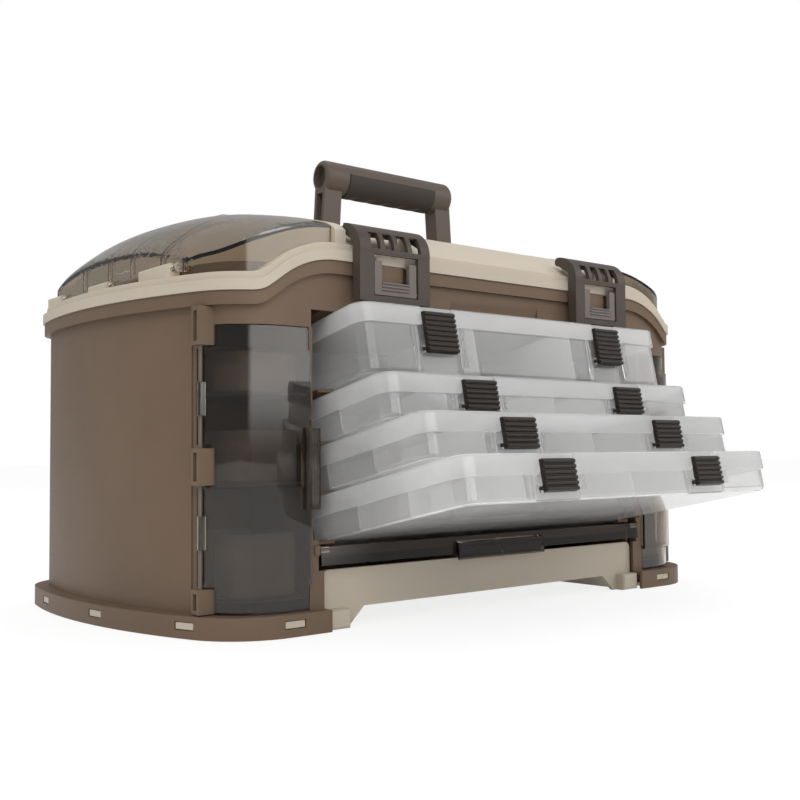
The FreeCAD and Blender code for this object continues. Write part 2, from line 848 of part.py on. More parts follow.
def corner_door(side):
    region = block(door_edge + door_play, reach, -reach, door_rear_edge, 0, front_seat)
    shell = door_body(0).common(region)
    inner = [wall_prism(door_thick, 0, front_seat)]
    for low, high in door_bulges:
        inner.append(wall_prism(door_thick - door_bulge, low + door_thick, high - door_thick))
    shell = shell.cut(Part.makeCompound(inner + bracket_zones(door_play)))
    adds = [shell]
    for low, high in door_knuckles:
        arm = block(hinge_x - knuckle_radius * 3, hinge_x, hinge_y - knuckle_radius, hinge_y, low, high)
        reach_in = wall_prism(door_thick - door_bulge, low - over, high + over)
        adds += [arm.cut(reach_in), post(knuckle_radius, low, high, hinge_x, hinge_y)]
    pull = block(pull_inner, pull_outer, pull_front, pull_back, pull_low, pull_high)
    stem = block(door_edge + door_play, pull_outer, pull_back - wall / 2, door_thick, pull_low, pull_high)
    stem = stem.cut(wall_prism(door_thick, pull_low - over, pull_high + over))
    adds += [pull, stem]
    for i in range(1, pull_rib_count + 1):
        adds.append(post(pull_rib_radius, pull_low + pull_rib_margin, pull_high - pull_rib_margin,
                         pull_inner + pull_rib_pitch * i, pull_front))
    door = join(adds)
    door = door.cut(post(hinge_pin_radius + running_fit, 0, front_seat, hinge_x, hinge_y))
    return on_side(door, side)


# Front bin door

def bin_door():
    top = bin_door_top
    low = bin_door_bottom
    thick = bin_door_thick
    face = bin_axis_y - bin_knuckle_radius
    lean = bin_door_lean
    panel = side_slab([(face, top), (face - lean, low), (face - lean + thick, low), (face + thick, top)],
                      -bin_door_half, bin_door_half)
    proud = pull_tab_proud
    drop_lean = lean * (top - pull_tab_bottom) / (top - low)
    top_lean = lean * (top - pull_tab_top) / (top - low)
    tab = side_slab([(face - top_lean, pull_tab_top), (face - proud - top_lean, pull_tab_top - wall / 2),
                     (face - proud - drop_lean, pull_tab_bottom),
                     (face - proud - drop_lean + thick, pull_tab_bottom),
                     (face - proud - top_lean + thick + lean / 2, pull_tab_top - wall * 2),
                     (face - top_lean + thick / 2, pull_tab_top - wall)],
                    -pull_tab_half, pull_tab_half)
    ribs = []
    for x in (-pull_tab_half, -thick / 2, pull_tab_half - thick):
        ribs.append(side_slab([(face - top_lean, pull_tab_top),
                               (face - proud - top_lean, pull_tab_top - wall / 2),
                               (face - proud - drop_lean, pull_tab_bottom), (face - lean + thick, low)],
                              x, x + thick))
    ends = []
    cheek_back = -rest_gap - rest_gap
    for side in (-1, 1):
        cheek = side_slab([(face, top), (face - lean, low), (cheek_back, low), (cheek_back, top)],
                          bin_door_half - thick, bin_door_half)
        ends.append(on_side(cheek, side))
        eye = bar(bin_knuckle_radius, bin_lug_inner - wall * 3, bin_door_half, bin_axis_y, bin_axis_z)
        ends.append(on_side(eye, side))
    door = join([panel, tab] + ribs + ends)
    hole = bar(bin_pin_radius + running_fit, -reach, reach, bin_axis_y, bin_axis_z)
    tunnel = block(-bin_lug_inner + wall * 3, bin_lug_inner - wall * 3, -reach, reach, 0, front_seat)
    return door.cut(hole.cut(tunnel))


# Lid

def dome_heights():
    # the domes stand higher than the bridge along the front
    return dome_front_heights + crown_heights[len(dome_front_heights):]


def crown(inward, lift, heights):
    # barrel shaped top of the lid as a solid, moved inward or lifted
    wires = []
    for depth, top in zip(crown_depths, heights):
        height = top - inward + lift
        right = [Vec(skirt_half_width - inset - inward, depth, height - fall)
                 for inset, fall in zip(crown_side_insets, crown_falls)]
        points = [Vec(-p.x, p.y, p.z) for p in right] + [Vec(0, depth, height)] + list(reversed(right))
        curve = Part.BSplineCurve()
        curve.interpolate(points)
        start = points[0]
        end = points[-1]
        base_left = Vec(start.x, depth, crown_floor)
        base_right = Vec(end.x, depth, crown_floor)
        wires.append(Part.Wire([curve.toShape(), Part.makeLine(end, base_right),
                                Part.makeLine(base_right, base_left), Part.makeLine(base_left, start)]))
    return Part.makeLoft(wires, True, False)


def lid_opening(grow, low):
    # the hole inside the lid ring, straight along the dome hinges
    inset = inner_wall_inset - wall + grow
    half = ring_half - grow
    top = crown_top + over
    return plan_prism(inset, low, top).common(block(-half, half, -reach, reach, low, top))


def lid_ring():
    bands = []
    low = rest_gap
    for high, inset in zip(bead_heights, bead_insets):
        ring = plan_prism(inset, side_seat - over, crown_top).cut(lid_opening(0, side_seat - over * 2))
        bands.append(ring.common(seat_band(low, high)))
        low = high
    inner_low = side_seat + rest_gap
    inner_ring = lid_opening(-rest_gap, inner_low).cut(lid_opening(inner_wall_thick, inner_low - over))
    inner_ring = inner_ring.cut(above_seat(bead_heights[-1]))
    hole = lid_opening(inner_wall_thick + lid_ledge_reach, inner_low - over)
    ledge = lid_opening(-rest_gap, inner_low).cut(hole)
    ledge = ledge.common(block(-reach, reach, -reach, reach, inner_low, inner_low + lid_ledge_thick))
    return join(bands + [inner_ring, ledge])


def bridge(outer_crown, inner_crown, shoulder_crown):
    front = bridge_front
    rear = bridge_rear
    top = crown_top + over
    inner_half = bridge_half - bridge_wall
    middle = outer_crown.common(block(-shoulder_inner, shoulder_inner, front, rear, side_seat, top))
    shoulder = shoulder_crown.common(block(shoulder_inner, bridge_half, front, rear, side_seat, top))
    outer = middle.fuse([shoulder, mirrored(shoulder)]).common(above_seat(rest_gap))
    inner = inner_crown.common(block(-inner_half, inner_half, front + bridge_wall, rear - bridge_wall,
                                     side_seat, top))
    shell = outer.cut(inner)
    boss_half = pocket_half + pocket_boss
    pocket_outer = outer_crown.common(block(-boss_half, boss_half, pocket_front - pocket_wall,
                                            pocket_rear + pocket_wall, pocket_floor - pocket_wall, top))
    pocket = block(-pocket_half, pocket_half, pocket_front, pocket_rear, pocket_floor, top)
    shell = join([shell, pocket_outer]).cut(pocket)
    holes = []
    for side in (-1, 1):
        pin = bar(pivot_radius + running_fit, pocket_half - wall, pivot_outer + rest_gap, handle_y, pivot_z)
        holes.append(on_side(pin, side))
    return shell.cut(Part.makeCompound(holes))


def dome_clip(span):
    y0, y1 = span
    clip = block(clip_inner, clip_outer, y0, y1, clip_low, clip_high)
    long_edges = [e for e in clip.Edges if abs(e.Vertexes[0].Y - e.Vertexes[1].Y) > wall
                  and min(e.Vertexes[0].Z, e.Vertexes[1].Z) > clip_high - rest_gap]
    clip = clip.makeFillet(rod_radius, long_edges)
    return clip.common(plan_prism(clip_inset, clip_low - over, clip_high + over))


def lid_frame(outer_crown, inner_crown, shoulder_crown):
    adds = [lid_ring(), bridge(outer_crown, inner_crown, shoulder_crown)]
    for span in clip_spans:
        clip = dome_clip(span)
        adds += [clip, mirrored(clip)]
    for side in (-1, 1):
        middle = side * latch_centre
        adds.append(block(middle - cap_half, middle + cap_half, tongue_front, skirt_front + wall_inset,
                          front_seat + rest_gap, cap_high))
        for offset in cover_lug_offsets:
            for sign in (-1, 1):
                start = middle + sign * offset
                stop = middle + sign * (offset + cover_lug_thick - wall)
                x0 = min(start, stop)
                x1 = max(start, stop)
                lug = block(x0, x1, cover_axis_y - cover_eye_radius, cover_axis_y + cover_eye_radius,
                            front_seat + wall * 3, cover_axis_z)
                adds += [lug, bar(cover_eye_radius, x0, x1, cover_axis_y, cover_axis_z)]
    for x0, x1 in lid_knuckle_spans:
        root_low = front_seat + rest_gap
        adds.append(hinge_lug(x0, x1, skirt_rear - lid_lip_inset - wall, root_low,
                              front_seat + bead_heights[0], root_low, lid_hinge_z + lid_hinge_radius))
    frame = join(adds)
    cuts = [bar(lid_pin_radius + running_fit, -reach, reach, lid_hinge_y, lid_hinge_z)]
    for side in (-1, 1):
        cuts.append(rod(rod_radius + running_fit, rod_front - wall, rod_rear - wall, side * rod_x, rod_z))
        middle = side * latch_centre
        eye_end = cover_eye_spans[-1][1]
        cuts.append(bar(cover_pin_radius + running_fit, middle - eye_end, middle + eye_end,
                        cover_axis_y, cover_axis_z))
    frame = frame.cut(Part.makeCompound(cuts))
    clear_gap = rest_gap + rest_gap
    for x0, x1 in body_knuckle_spans:
        frame = frame.cut(bar(lid_hinge_radius + clear_gap, x0 - knuckle_play, x1 + knuckle_play,
                              lid_hinge_y, lid_hinge_z))
    return frame


def dome_plan(shrink):
    half = dome_half - shrink
    low = side_seat - shrink
    top = crown_top + over
    return plan_prism(dome_inset + shrink, low, top).common(block(-half, half, -reach, reach, low, top))


def dome_cavity(inner_crown):
    # hollow of a dome, shallower where the ribs cross it
    inner = inner_crown.common(dome_plan(dome_wall))
    deep = crown(dome_wall + dome_rib_deep, 0, dome_heights())
    deep = deep.common(dome_plan(dome_wall + dome_rib_deep))
    pieces = []
    start = -reach
    for depth in dome_rib_depths:
        rib_front = depth - dome_rib_width / 2
        rib_rear = depth + dome_rib_width / 2
        pieces.append(inner.common(block(-reach, reach, start, rib_front, 0, reach)))
        pieces.append(deep.common(block(-reach, reach, rib_front, rib_rear, 0, reach)))
        start = rib_rear
    pieces.append(inner.common(block(-reach, reach, start, reach, 0, reach)))
    return Part.makeCompound(pieces), deep


def dome_tab(tab_high_crown, tab_low_crown, edge):
    # finger tab that laps over the bridge
    inner_end = bridge_half - dome_tab_reach
    outer_end = bridge_half + dome_tab_reach
    top = crown_top + wall * 2
    tab = tab_high_crown.common(block(inner_end, outer_end, dome_tab_front, dome_tab_rear, side_seat, top))
    middle = crown(dome_wall / 2, 0, dome_heights())
    over_bridge = tab_low_crown.common(block(inner_end - wall, edge, -reach, reach, 0, reach))
    over_dome = middle.common(block(edge, outer_end + wall, -reach, reach, 0, reach))
    return tab.cut(over_bridge).cut(over_dome)


def dome(side, outer_crown, inner_crown, tab_high_crown, tab_low_crown):
    edge = bridge_half + dome_play
    region = block(edge, reach, -reach, reach, side_seat, crown_top + wall * 2)
    cavity, deep = dome_cavity(inner_crown)
    above = above_seat(bead_heights[-1] + dome_play)
    piece = outer_crown.common(dome_plan(0)).common(region).common(above).cut(cavity)
    adds = [dome_tab(tab_high_crown, tab_low_crown, edge)]
    for y0, y1 in dome_eyes:
        eye = rod(dome_eye_radius, y0, y1, rod_x, rod_z)
        arm = block(clip_inner - wall * 2, rod_x, y0, y1, rod_z - rod_radius, rod_z + dome_eye_radius)
        adds += [eye, arm.cut(deep)]
    for add in adds:
        piece = piece.fuse(add)
    piece = piece.cut(rod(rod_radius + running_fit, rod_front - rest_gap, reach, rod_x, rod_z))
    return on_side(piece, side)


def dome_rods():
    solids = []
    for side in (-1, 1):
        solids.append(rod(rod_radius, rod_front, rod_rear - wall - rest_gap, side * rod_x, rod_z))
    return Part.makeCompound(solids)


def lid_tray(side):
    edge = bridge_half + dome_play
    region = block(edge, reach, -reach, reach, lid_tray_low, lid_tray_high)
    region_inner = block(edge + lid_tray_wall, reach, -reach, reach, lid_tray_low + lid_tray_wall,
                         lid_tray_high + over)
    gap = inner_wall_thick + lid_tray_gap
    outer = lid_opening(gap, lid_tray_low).common(region)
    inner = lid_opening(gap + lid_tray_wall, lid_tray_low).common(region_inner)
    tray = outer.cut(inner)
    dividers = []
    for depth in lid_tray_divider_depths:
        slab = block(edge, reach, depth - lid_tray_wall / 2, depth + lid_tray_wall / 2,
                     lid_tray_low, lid_tray_high - wall)
        dividers.append(outer.common(slab))
    return on_side(join([tray] + dividers), side)


# Handle

def oval_bar(half_deep, low, high, x0, x1):
    middle = (low + high) / 2
    half_tall = (high - low) / 2
    major = max(half_deep, half_tall)
    minor = min(half_deep, half_tall)
    centre = Vec(x0, handle_y, middle)
    if half_tall >= half_deep:
        ellipse = Part.Ellipse(Vec(x0, handle_y, high), Vec(x0, handle_y + minor, middle), centre)
    else:
        ellipse = Part.Ellipse(Vec(x0, handle_y + major, middle), Vec(x0, handle_y, high), centre)
    return Part.Face(Part.Wire(ellipse.toShape())).extrude(Vec(x1 - x0, 0, 0))


def handle_leg():
    neck = (bar_low + bar_high) / 2
    inner_drop = leg_width
    outline = [(leg_foot_outer - inner_drop, leg_foot_low), (leg_foot_outer, leg_foot_low),
               (leg_neck_outer, neck), (leg_neck_outer - inner_drop, neck)]
    leg = front_slab(outline, handle_y - leg_deep / 2, handle_y + leg_deep / 2)
    slant = leg_foot_outer - leg_neck_outer
    channel = [(leg_foot_outer - leg_channel, pivot_z + leg_channel_deep),
               (leg_foot_outer + over, pivot_z + leg_channel_deep),
               (leg_foot_outer + over, bar_low), (leg_foot_outer - leg_channel - slant, bar_low)]
    cut = front_slab(channel, handle_y - leg_channel_deep / 2, handle_y + leg_channel_deep / 2)
    return leg.cut(cut)


def grip_body(grow):
    half = grip_half + grow
    low = bar_low - grip_proud - grow
    outer = oval_bar(bar_deep / 2 + grip_proud + grow, low, bar_high + grip_proud, -half, half)
    return outer.common(block(-reach, reach, 0, reach, 0, grip_top + grow))


def handle_frame():
    top = oval_bar(bar_deep / 2, bar_low, bar_high, -bar_half, bar_half)
    rim = [e for e in top.Edges if abs(abs(e.CenterOfMass.x) - bar_half) < rest_gap]
    top = top.makeFillet(bar_end_round, rim)
    margin = end_hollow_wall + bar_end_round / 2
    hollow = oval_bar(bar_deep / 2 - margin, bar_low + margin, bar_high - margin, bar_half - end_hollow,
                      bar_half + over)
    leg = handle_leg()
    frame = join([top, leg, mirrored(leg)])
    core = oval_bar(bar_deep / 2 - grip_core, bar_low + grip_core, bar_high - grip_core,
                    -grip_half - grip_proud, grip_half + grip_proud)
    frame = frame.cut(grip_body(grip_gap))
    frame = join([frame, core])
    frame = frame.cut(Part.makeCompound([hollow, mirrored(hollow)]))
    pin = bar(pivot_radius + running_fit, -pivot_outer, pivot_outer, handle_y, pivot_z)
    return frame.cut(pin)


def handle_grip():
    grip = grip_body(0)
    core = oval_bar(bar_deep / 2 - grip_core + grip_gap, bar_low + grip_core - grip_gap,
                    bar_high - grip_core + grip_gap, -reach, reach)
    waves = []
    middle = (wave_count - 1) / 2
    for i in range(wave_count):
        x = (i - middle) * wave_pitch
        z = bar_low - grip_proud + wave_deep - wave_radius
        waves.append(rod(wave_radius, handle_y - bar_deep, handle_y + bar_deep, x, z))
    return grip.cut(core).cut(Part.makeCompound(waves))


def handle_pins():
    right = bar(pivot_radius, pivot_inner, pivot_outer, handle_y, pivot_z)
    return Part.makeCompound([right, mirrored(right)])


# Front latches

def cover_outline(shrink):
    front = cover_front + shrink
    shoulder = cover_shoulder
    top = cover_axis_z + cover_eye_radius - shrink
    start = Vec(0, front, shoulder)
    end = Vec(0, cover_axis_y, top)
    bend = Vec(0, front + (cover_axis_y - front) * cover_bend_depth_share,
               shoulder + (top - shoulder) * cover_bend_height_share)
    arc = Part.Arc(start, bend, end).toShape()
    low = Vec(0, front, cover_bottom)
    back_low = Vec(0, cover_axis_y, cover_bottom)
    return Part.Wire([Part.makeLine(low, start), arc, Part.makeLine(end, back_low),
                      Part.makeLine(back_low, low)])


def latch_cover(side):
    outer = Part.Face(cover_outline(0)).extrude(Vec(cover_outer - cover_inner, 0, 0))
    outer.translate(Vec(cover_inner, 0, 0))
    width_in = cover_outer - cover_inner - cover_flank - cover_flank
    inner = Part.Face(cover_outline(cover_thick)).extrude(Vec(width_in, 0, 0))
    inner.translate(Vec(cover_inner + cover_flank, 0, 0))
    lower_inner = block(cover_inner + cover_flank, cover_outer - cover_flank, cover_front + cover_thick,
                        reach, cover_bottom - over, cover_shoulder)
    shell = outer.cut(inner).cut(lower_inner)
    behind = side_slab([(cover_back, 0), (reach, 0), (reach, cover_axis_z - cover_eye_radius),
                        (cover_axis_y, cover_axis_z - cover_eye_radius),
                        (cover_back, front_seat + bead_heights[-1] + wall)],
                       cover_inner - over, cover_outer + over)
    shell = shell.cut(behind)
    middle = latch_centre
    window = block(middle - window_half, middle + window_half, cover_front - over,
                   cover_front + cover_thick + over, window_low, window_high)
    cuts = [window]
    centre = (louvre_count - 1) / 2
    for i in range(louvre_count):
        x = middle + (i - centre) * louvre_pitch
        cuts.append(block(x - louvre_wide / 2, x + louvre_wide / 2, cover_front - over, louvre_back,
                          louvre_low, louvre_high))
    shell = shell.cut(Part.makeCompound(cuts))
    eyes = []
    for x0, x1 in cover_eye_spans:
        eyes.append(bar(cover_eye_radius, middle + x0, middle + x1, cover_axis_y, cover_axis_z))
    cover = join([shell] + eyes)
    clear_gap = rest_gap + rest_gap
    slots = []
    for offset in cover_lug_offsets:
        for sign in (-1, 1):
            start = middle + sign * offset
            stop = middle + sign * (offset + cover_lug_thick - wall)
            slots.append(block(min(start, stop) - knuckle_play, max(start, stop) + knuckle_play,
                               cover_axis_y - cover_eye_radius - clear_gap, reach, 0, reach))
    cover = cover.cut(Part.makeCompound(slots))
    pin_hole = bar(cover_pin_radius + running_fit, middle - cover_eye_spans[2][1] + wall,
                   middle + cover_eye_spans[2][1] - wall, cover_axis_y, cover_axis_z)
    plate_hole = bar(plate_pin_radius + running_fit, middle - window_half - plate_pin_reach - rest_gap,
                     middle + window_half + plate_pin_reach + rest_gap,
                     (plate_front + plate_back) / 2, plate_axis_z)
    cover = cover.cut(Part.makeCompound([pin_hole, plate_hole]))
    return on_side(cover, side)


def latch_plate(side):
    middle = latch_centre
    plate = block(middle - plate_half, middle + plate_half, plate_front, plate_back, plate_low, plate_high)
    gap = block(middle - plate_gap_half, middle + plate_gap_half, plate_front - wall, plate_back + wall,
                plate_gap_low, plate_high + wall)
    plate = plate.cut(gap)
    adds = [plate]
    for z in plate_ribs:
        adds.append(bar(plate_rib_radius, middle - plate_gap_half, middle + plate_gap_half, plate_front, z))
    pin_half = window_half + plate_pin_reach
    adds.append(bar(plate_pin_radius, middle - pin_half, middle + pin_half,
                    (plate_front + plate_back) / 2, plate_axis_z))
    return on_side(join(adds), side)


def latch_pins():
    solids = []
    inner = cover_eye_spans[2][1] - wall - rest_gap
    for side in (-1, 1):
        middle = side * latch_centre
        solids.append(bar(cover_pin_radius, middle - inner, middle + inner, cover_axis_y, cover_axis_z))
    return Part.makeCompound(solids)


# Utility boxes in ledge coordinates: X across, Y from the front edge to the rear, Z up from the bottom

def latch_span(index):
    if index == 0:
        return latch_inner_deep, latch_outer_deep
    return latch_inner_thin, latch_outer_thin


def latch_drop(index):
    return latch_bottom_deep if index == 0 else latch_bottom_thin


def pivot_height(index):
    return box_heights[index] - latch_drop(index) + latch_pivot_radius


def utility_tray(index):
    tall = box_heights[index]
    half = box_widths[index] / 2 - tray_inset
    front = tray_inset
    rear = box_depth - tray_inset
    top = tall - lid_plate - rest_gap
    inner0, inner1 = latch_span(index)
    outer = rounded_block(-half, half, front, rear, 0, top, box_corner - tray_inset)
    base_edges = [e for e in outer.Edges if max(v.Z for v in e.Vertexes) < rest_gap]
    outer = outer.makeFillet(tray_round, base_edges)
    inner = rounded_block(-half + tray_wall, half - tray_wall, front + tray_wall, rear - tray_wall,
                          tray_floor, tall + over, box_corner - tray_inset - tray_wall)
    inner_base = [e for e in inner.Edges if max(v.Z for v in e.Vertexes) < tray_floor + rest_gap]
    inner = inner.makeFillet(tray_round - tray_wall, inner_base)
    recesses = []
    grown = []
    for side in (-1, 1):
        x0 = inner0 - recess_margin
        x1 = inner1 + recess_margin
        recess = block(x0, x1, -over, recess_depth, -over, tall + over)
        swell = block(x0 - tray_wall, x1 + tray_wall, -over, recess_depth + tray_wall, -over, tall + over * 2)
        recesses.append(on_side(recess, side))
        grown.append(on_side(swell, side))
    outer = outer.cut(Part.makeCompound(recesses))
    inner = inner.cut(Part.makeCompound(grown))
    adds = [outer.cut(inner)]
    rows = row_counts[index]
    for i in range(1, rows):
        y = front + (rear - front) * i / rows
        partition = block(-half + tray_wall / 2, half - tray_wall / 2, y - tray_wall / 2, y + tray_wall / 2,
                          tray_floor / 2, top - wall)
        adds.append(partition)
    z = pivot_height(index)
    for side in (-1, 1):
        for x0 in (inner0 - lug_gap - lug_thick, inner1 + lug_gap):
            lug = block(x0, x0 + lug_thick, lug_front, recess_depth + tray_wall / 2, z - latch_pivot_radius,
                        z + latch_pivot_radius)
            adds.append(on_side(lug, side))
        edge0 = inner0 - recess_margin
        edge1 = inner1 + recess_margin
        for middle in (edge0 - rib_pitch, edge0 - rib_pitch * 2, edge1 + rib_pitch, edge1 + rib_pitch * 2):
            rib = block(middle - front_rib_width / 2, middle + front_rib_width / 2, front - front_rib_proud,
                        front + tray_wall / 2, tray_round + wall, tall - lid_skirt - rest_gap)
            adds.append(on_side(rib, side))
    tray = join(adds)
    holes = []
    for side in (-1, 1):
        pin_reach = lug_gap + lug_thick + over
        pin = bar(latch_pin_radius + running_fit, inner0 - pin_reach, inner1 + pin_reach, latch_pivot_in, z)
        holes.append(on_side(pin, side))
    return tray.cut(Part.makeCompound(holes))


def utility_lid(index):
    tall = box_heights[index]
    half = box_widths[index] / 2
    low = tall - lid_skirt
    inner0, inner1 = latch_span(index)
    outer = rounded_block(-half, half, 0, box_depth, low, tall, box_corner)
    top_edges = [e for e in outer.Edges if min(v.Z for v in e.Vertexes) > tall - rest_gap]
    outer = outer.makeFillet(lid_plate, top_edges)
    inner = rounded_block(-half + lid_skirt_wall, half - lid_skirt_wall, lid_skirt_wall,
                       box_depth - lid_skirt_wall, low - over, tall - lid_plate, box_corner - lid_skirt_wall)
    notches = []
    grown = []
    for side in (-1, 1):
        x0 = inner0 - notch_margin
        x1 = inner1 + notch_margin
        notches.append(on_side(block(x0, x1, -over, notch_depth, low - over, tall + over), side))
        grown.append(on_side(block(x0 - lid_skirt_wall, x1 + lid_skirt_wall, -over,
                                   notch_depth + lid_skirt_wall, low - over * 2, tall), side))
    lid = outer.cut(Part.makeCompound(notches)).cut(inner.cut(Part.makeCompound(grown)))
    adds = [lid]
    for side in (-1, 1):
        top = tall - catch_drop
        rib = block(inner0 - notch_margin, inner1 + notch_margin, latch_pivot_in,
                    notch_depth + lid_skirt_wall / 2, top - catch_height, top)
        adds.append(on_side(rib, side))
    low_cut = []
    margin = notch_margin + lid_skirt_wall
    for side in (-1, 1):
        low_cut.append(on_side(block(inner0 - margin, inner1 + margin, notch_depth - over,
                                     notch_depth + lid_skirt_wall + rest_gap, low - over,
                                     low + lid_skirt_wall), side))
    return join(adds).cut(Part.makeCompound(low_cut))


def utility_dividers(index):
    tall = box_heights[index]
    half = box_widths[index] / 2 - tray_inset - tray_wall
    front = tray_inset
    rear = box_depth - tray_inset
    top = tall - lid_plate - rest_gap - wall
    rows = row_counts[index]
    solids = []
    pitch = (rear - front) / rows
    for row in range(rows):
        y0 = front + pitch * row + tray_wall / 2 + divider_gap
        y1 = front + pitch * (row + 1) - tray_wall / 2 - divider_gap
        if row == 0:
            y0 = recess_depth + tray_wall + divider_gap
        if row == rows - 1:
            y1 = rear - tray_wall - tray_round
        count = divider_counts[index][row]
        for i in range(1, count + 1):
            x = -half + (half + half) * i / (count + 1)
            low = tray_floor + rest_gap
            solids.append(block(x - divider_thick / 2, x + divider_thick / 2, y0, y1, low, top))
    return Part.makeCompound(solids)


def utility_latch(index, side):
    tall = box_heights[index]
    inner0, inner1 = latch_span(index)
    z = pivot_height(index)
    top = tall - latch_top_drop
    plate = block(inner0, inner1, -latch_sheet, latch_sheet, z, top)
    nib = block(inner0, inner1, latch_sheet / 2, latch_sheet + latch_nib, top - latch_nib_height, top)
    foot = bar(latch_pivot_radius, inner0, inner1, latch_pivot_in, z)
    foot_block = block(inner0, inner1, -latch_sheet, latch_pivot_in, z - latch_pivot_radius / 3, z)
    pin = bar(latch_pin_radius, inner0 - latch_pin_reach, inner1 + latch_pin_reach, latch_pivot_in, z)
    adds = [plate, nib, foot, foot_block, pin]
    count = latch_rib_counts[index]
    pitch = (top - z + latch_pivot_radius) / count
    for i in range(count):
        level = z - latch_pivot_radius + pitch * (i + 0.5)
        adds.append(bar(latch_rib_radius, inner0, inner1, -latch_sheet, level))
    return on_side(join(adds), side)


def place_box(shape, index):
    return tilted(shape, box_fronts[index], box_bottoms[index])


def all_parts():
    bridge_outer = crown(0, 0, crown_heights)
    bridge_inner = crown(bridge_wall, 0, crown_heights)
    shoulder_crown = crown(0, shoulder_lift, dome_heights())
    dome_outer = crown(0, 0, dome_heights())
    dome_inner = crown(dome_wall, 0, dome_heights())
    tab_high_crown = crown(0, dome_tab_thick + dome_play, dome_heights())
    tab_low_crown = crown(0, dome_play, dome_heights())
    parts = {
        "body_shell": body_shell(),
        "front_latch_catches": latch_catches(),
        "base_pan": base_pan(),
        "left_rack_panel": rack_panel(-1),
        "right_rack_panel": rack_panel(1),
        "rack_back_wall": rack_back_wall(),
        "rack_cross_rail": rack_cross_rail(),
        "bulk_tray": bulk_tray(),
        "left_compartment_liner": compartment_liner(-1),
        "right_compartment_liner": compartment_liner(1),
        "left_compartment_bins": compartment_bins(-1),
        "right_compartment_bins": compartment_bins(1),
        "front_bin": front_bin(),
        "front_bin_door": bin_door(),
        "front_bin_door_pins": bin_door_pins(),
        "left_corner_door": corner_door(-1),
        "right_corner_door": corner_door(1),
        "corner_door_pins": door_hinge_pins(),
        "lid_frame": lid_frame(bridge_outer, bridge_inner, shoulder_crown),
        "lid_hinge_rods": lid_hinge_rod(),
        "left_lid_tray": lid_tray(-1),
        "right_lid_tray": lid_tray(1),
        "left_dome": dome(-1, dome_outer, dome_inner, tab_high_crown, tab_low_crown),
        "right_dome": dome(1, dome_outer, dome_inner, tab_high_crown, tab_low_crown),
        "dome_hinge_rods": dome_rods(),
        "handle_frame": handle_frame(),
        "handle_grip": handle_grip(),
        "handle_pivot_pins": handle_pins(),
        "left_latch_cover": latch_cover(-1),
        "right_latch_cover": latch_cover(1),
        "left_latch_plate": latch_plate(-1),
        "right_latch_plate": latch_plate(1),
        "front_latch_pins": latch_pins(),
    }
    for index, name in enumerate(box_names):
        parts[name + "_tray"] = place_box(utility_tray(index), index)
        parts[name + "_lid"] = place_box(utility_lid(index), index)
        parts[name + "_dividers"] = place_box(utility_dividers(index), index)
        parts[name + "_left_latch"] = place_box(utility_latch(index, -1), index)
        parts[name + "_right_latch"] = place_box(utility_latch(index, 1), index)
    return parts


def main():
    os.makedirs("parts", exist_ok=True)
    for name, shape in all_parts().items():
        shape.exportStep(os.path.join("parts", name + ".step"))


if __name__ == "__main__":
    main()
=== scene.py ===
"""Looks of the tackle cabinet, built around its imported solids. Metres, +Z up, the front faces -Y."""

import math

import bpy
from mathutils import Matrix, Vector
from mathutils.bvhtree import BVHTree


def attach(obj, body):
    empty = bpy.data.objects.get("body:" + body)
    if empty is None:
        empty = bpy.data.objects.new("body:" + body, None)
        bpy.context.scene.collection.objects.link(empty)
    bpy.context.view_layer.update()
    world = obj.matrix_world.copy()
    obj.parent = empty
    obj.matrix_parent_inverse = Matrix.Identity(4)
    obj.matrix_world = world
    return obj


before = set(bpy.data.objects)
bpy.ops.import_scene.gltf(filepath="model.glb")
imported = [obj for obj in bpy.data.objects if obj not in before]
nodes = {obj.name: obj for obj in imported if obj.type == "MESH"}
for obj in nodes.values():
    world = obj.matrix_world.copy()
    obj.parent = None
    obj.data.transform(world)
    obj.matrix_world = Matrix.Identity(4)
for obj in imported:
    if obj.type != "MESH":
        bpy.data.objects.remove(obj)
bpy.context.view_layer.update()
MM = 0.001

# Camera at the photograph's place and angle
LENS = 47.92
SENSOR = 36.0
CAMERA_AT = (-0.63945, -0.647, 0.13087)
YAW = math.radians(39.49)
PITCH = math.radians(2.79)
ROLL = math.radians(-0.46)
NEAREST = 0.01
FARTHEST = 50.0

# Rounding and shading of the solids
WELD = 0.00001
EDGE_ROUND = 0.0006
EDGE_STEPS = 2
SHARP_ANGLE = math.radians(35)
NORMAL_WEIGHT = 80

# Dark strips of painted shade along the ribs under the domes, in millimetres
RIB_DEPTHS = (96.0, 148.0, 190.5, 242.0)
RIB_INNER = 172.0
RIB_STEP = 3.5
RIB_STEPS = 26
RIB_UNDER_SKIN = 6.4
RIB_HALF_WIDTH = 0.9
RIB_SLANT = 0.3
RIB_HEIGHT = 0.7
# and their heights, in metres
ABOVE_DOMES = 0.45
DOME_FOOT = 0.262
RIB_FOOT = 0.266

# Studio
WHITE = (1, 1, 1, 1)
SEEN_ROOM = 1.0
ROOM_LIGHT = 0.72
MIRRORED_ROOM = 0.5
SOFT_BOX = 3.6
# edges of the soft box, as parts of a unit direction: where it fades in, and where it is full
SOFT_BOX_FRONT = (-0.70, -0.76)
SOFT_BOX_LEFT = (-0.58, -0.42)
SOFT_BOX_RIGHT = (0.62, 0.56)
SOFT_BOX_FOOT = (-0.01, 0.07)
SOFT_BOX_TOP = (0.62, 0.46)
LAMP_AIM = Vector((0.0, 0.1, 0.18))
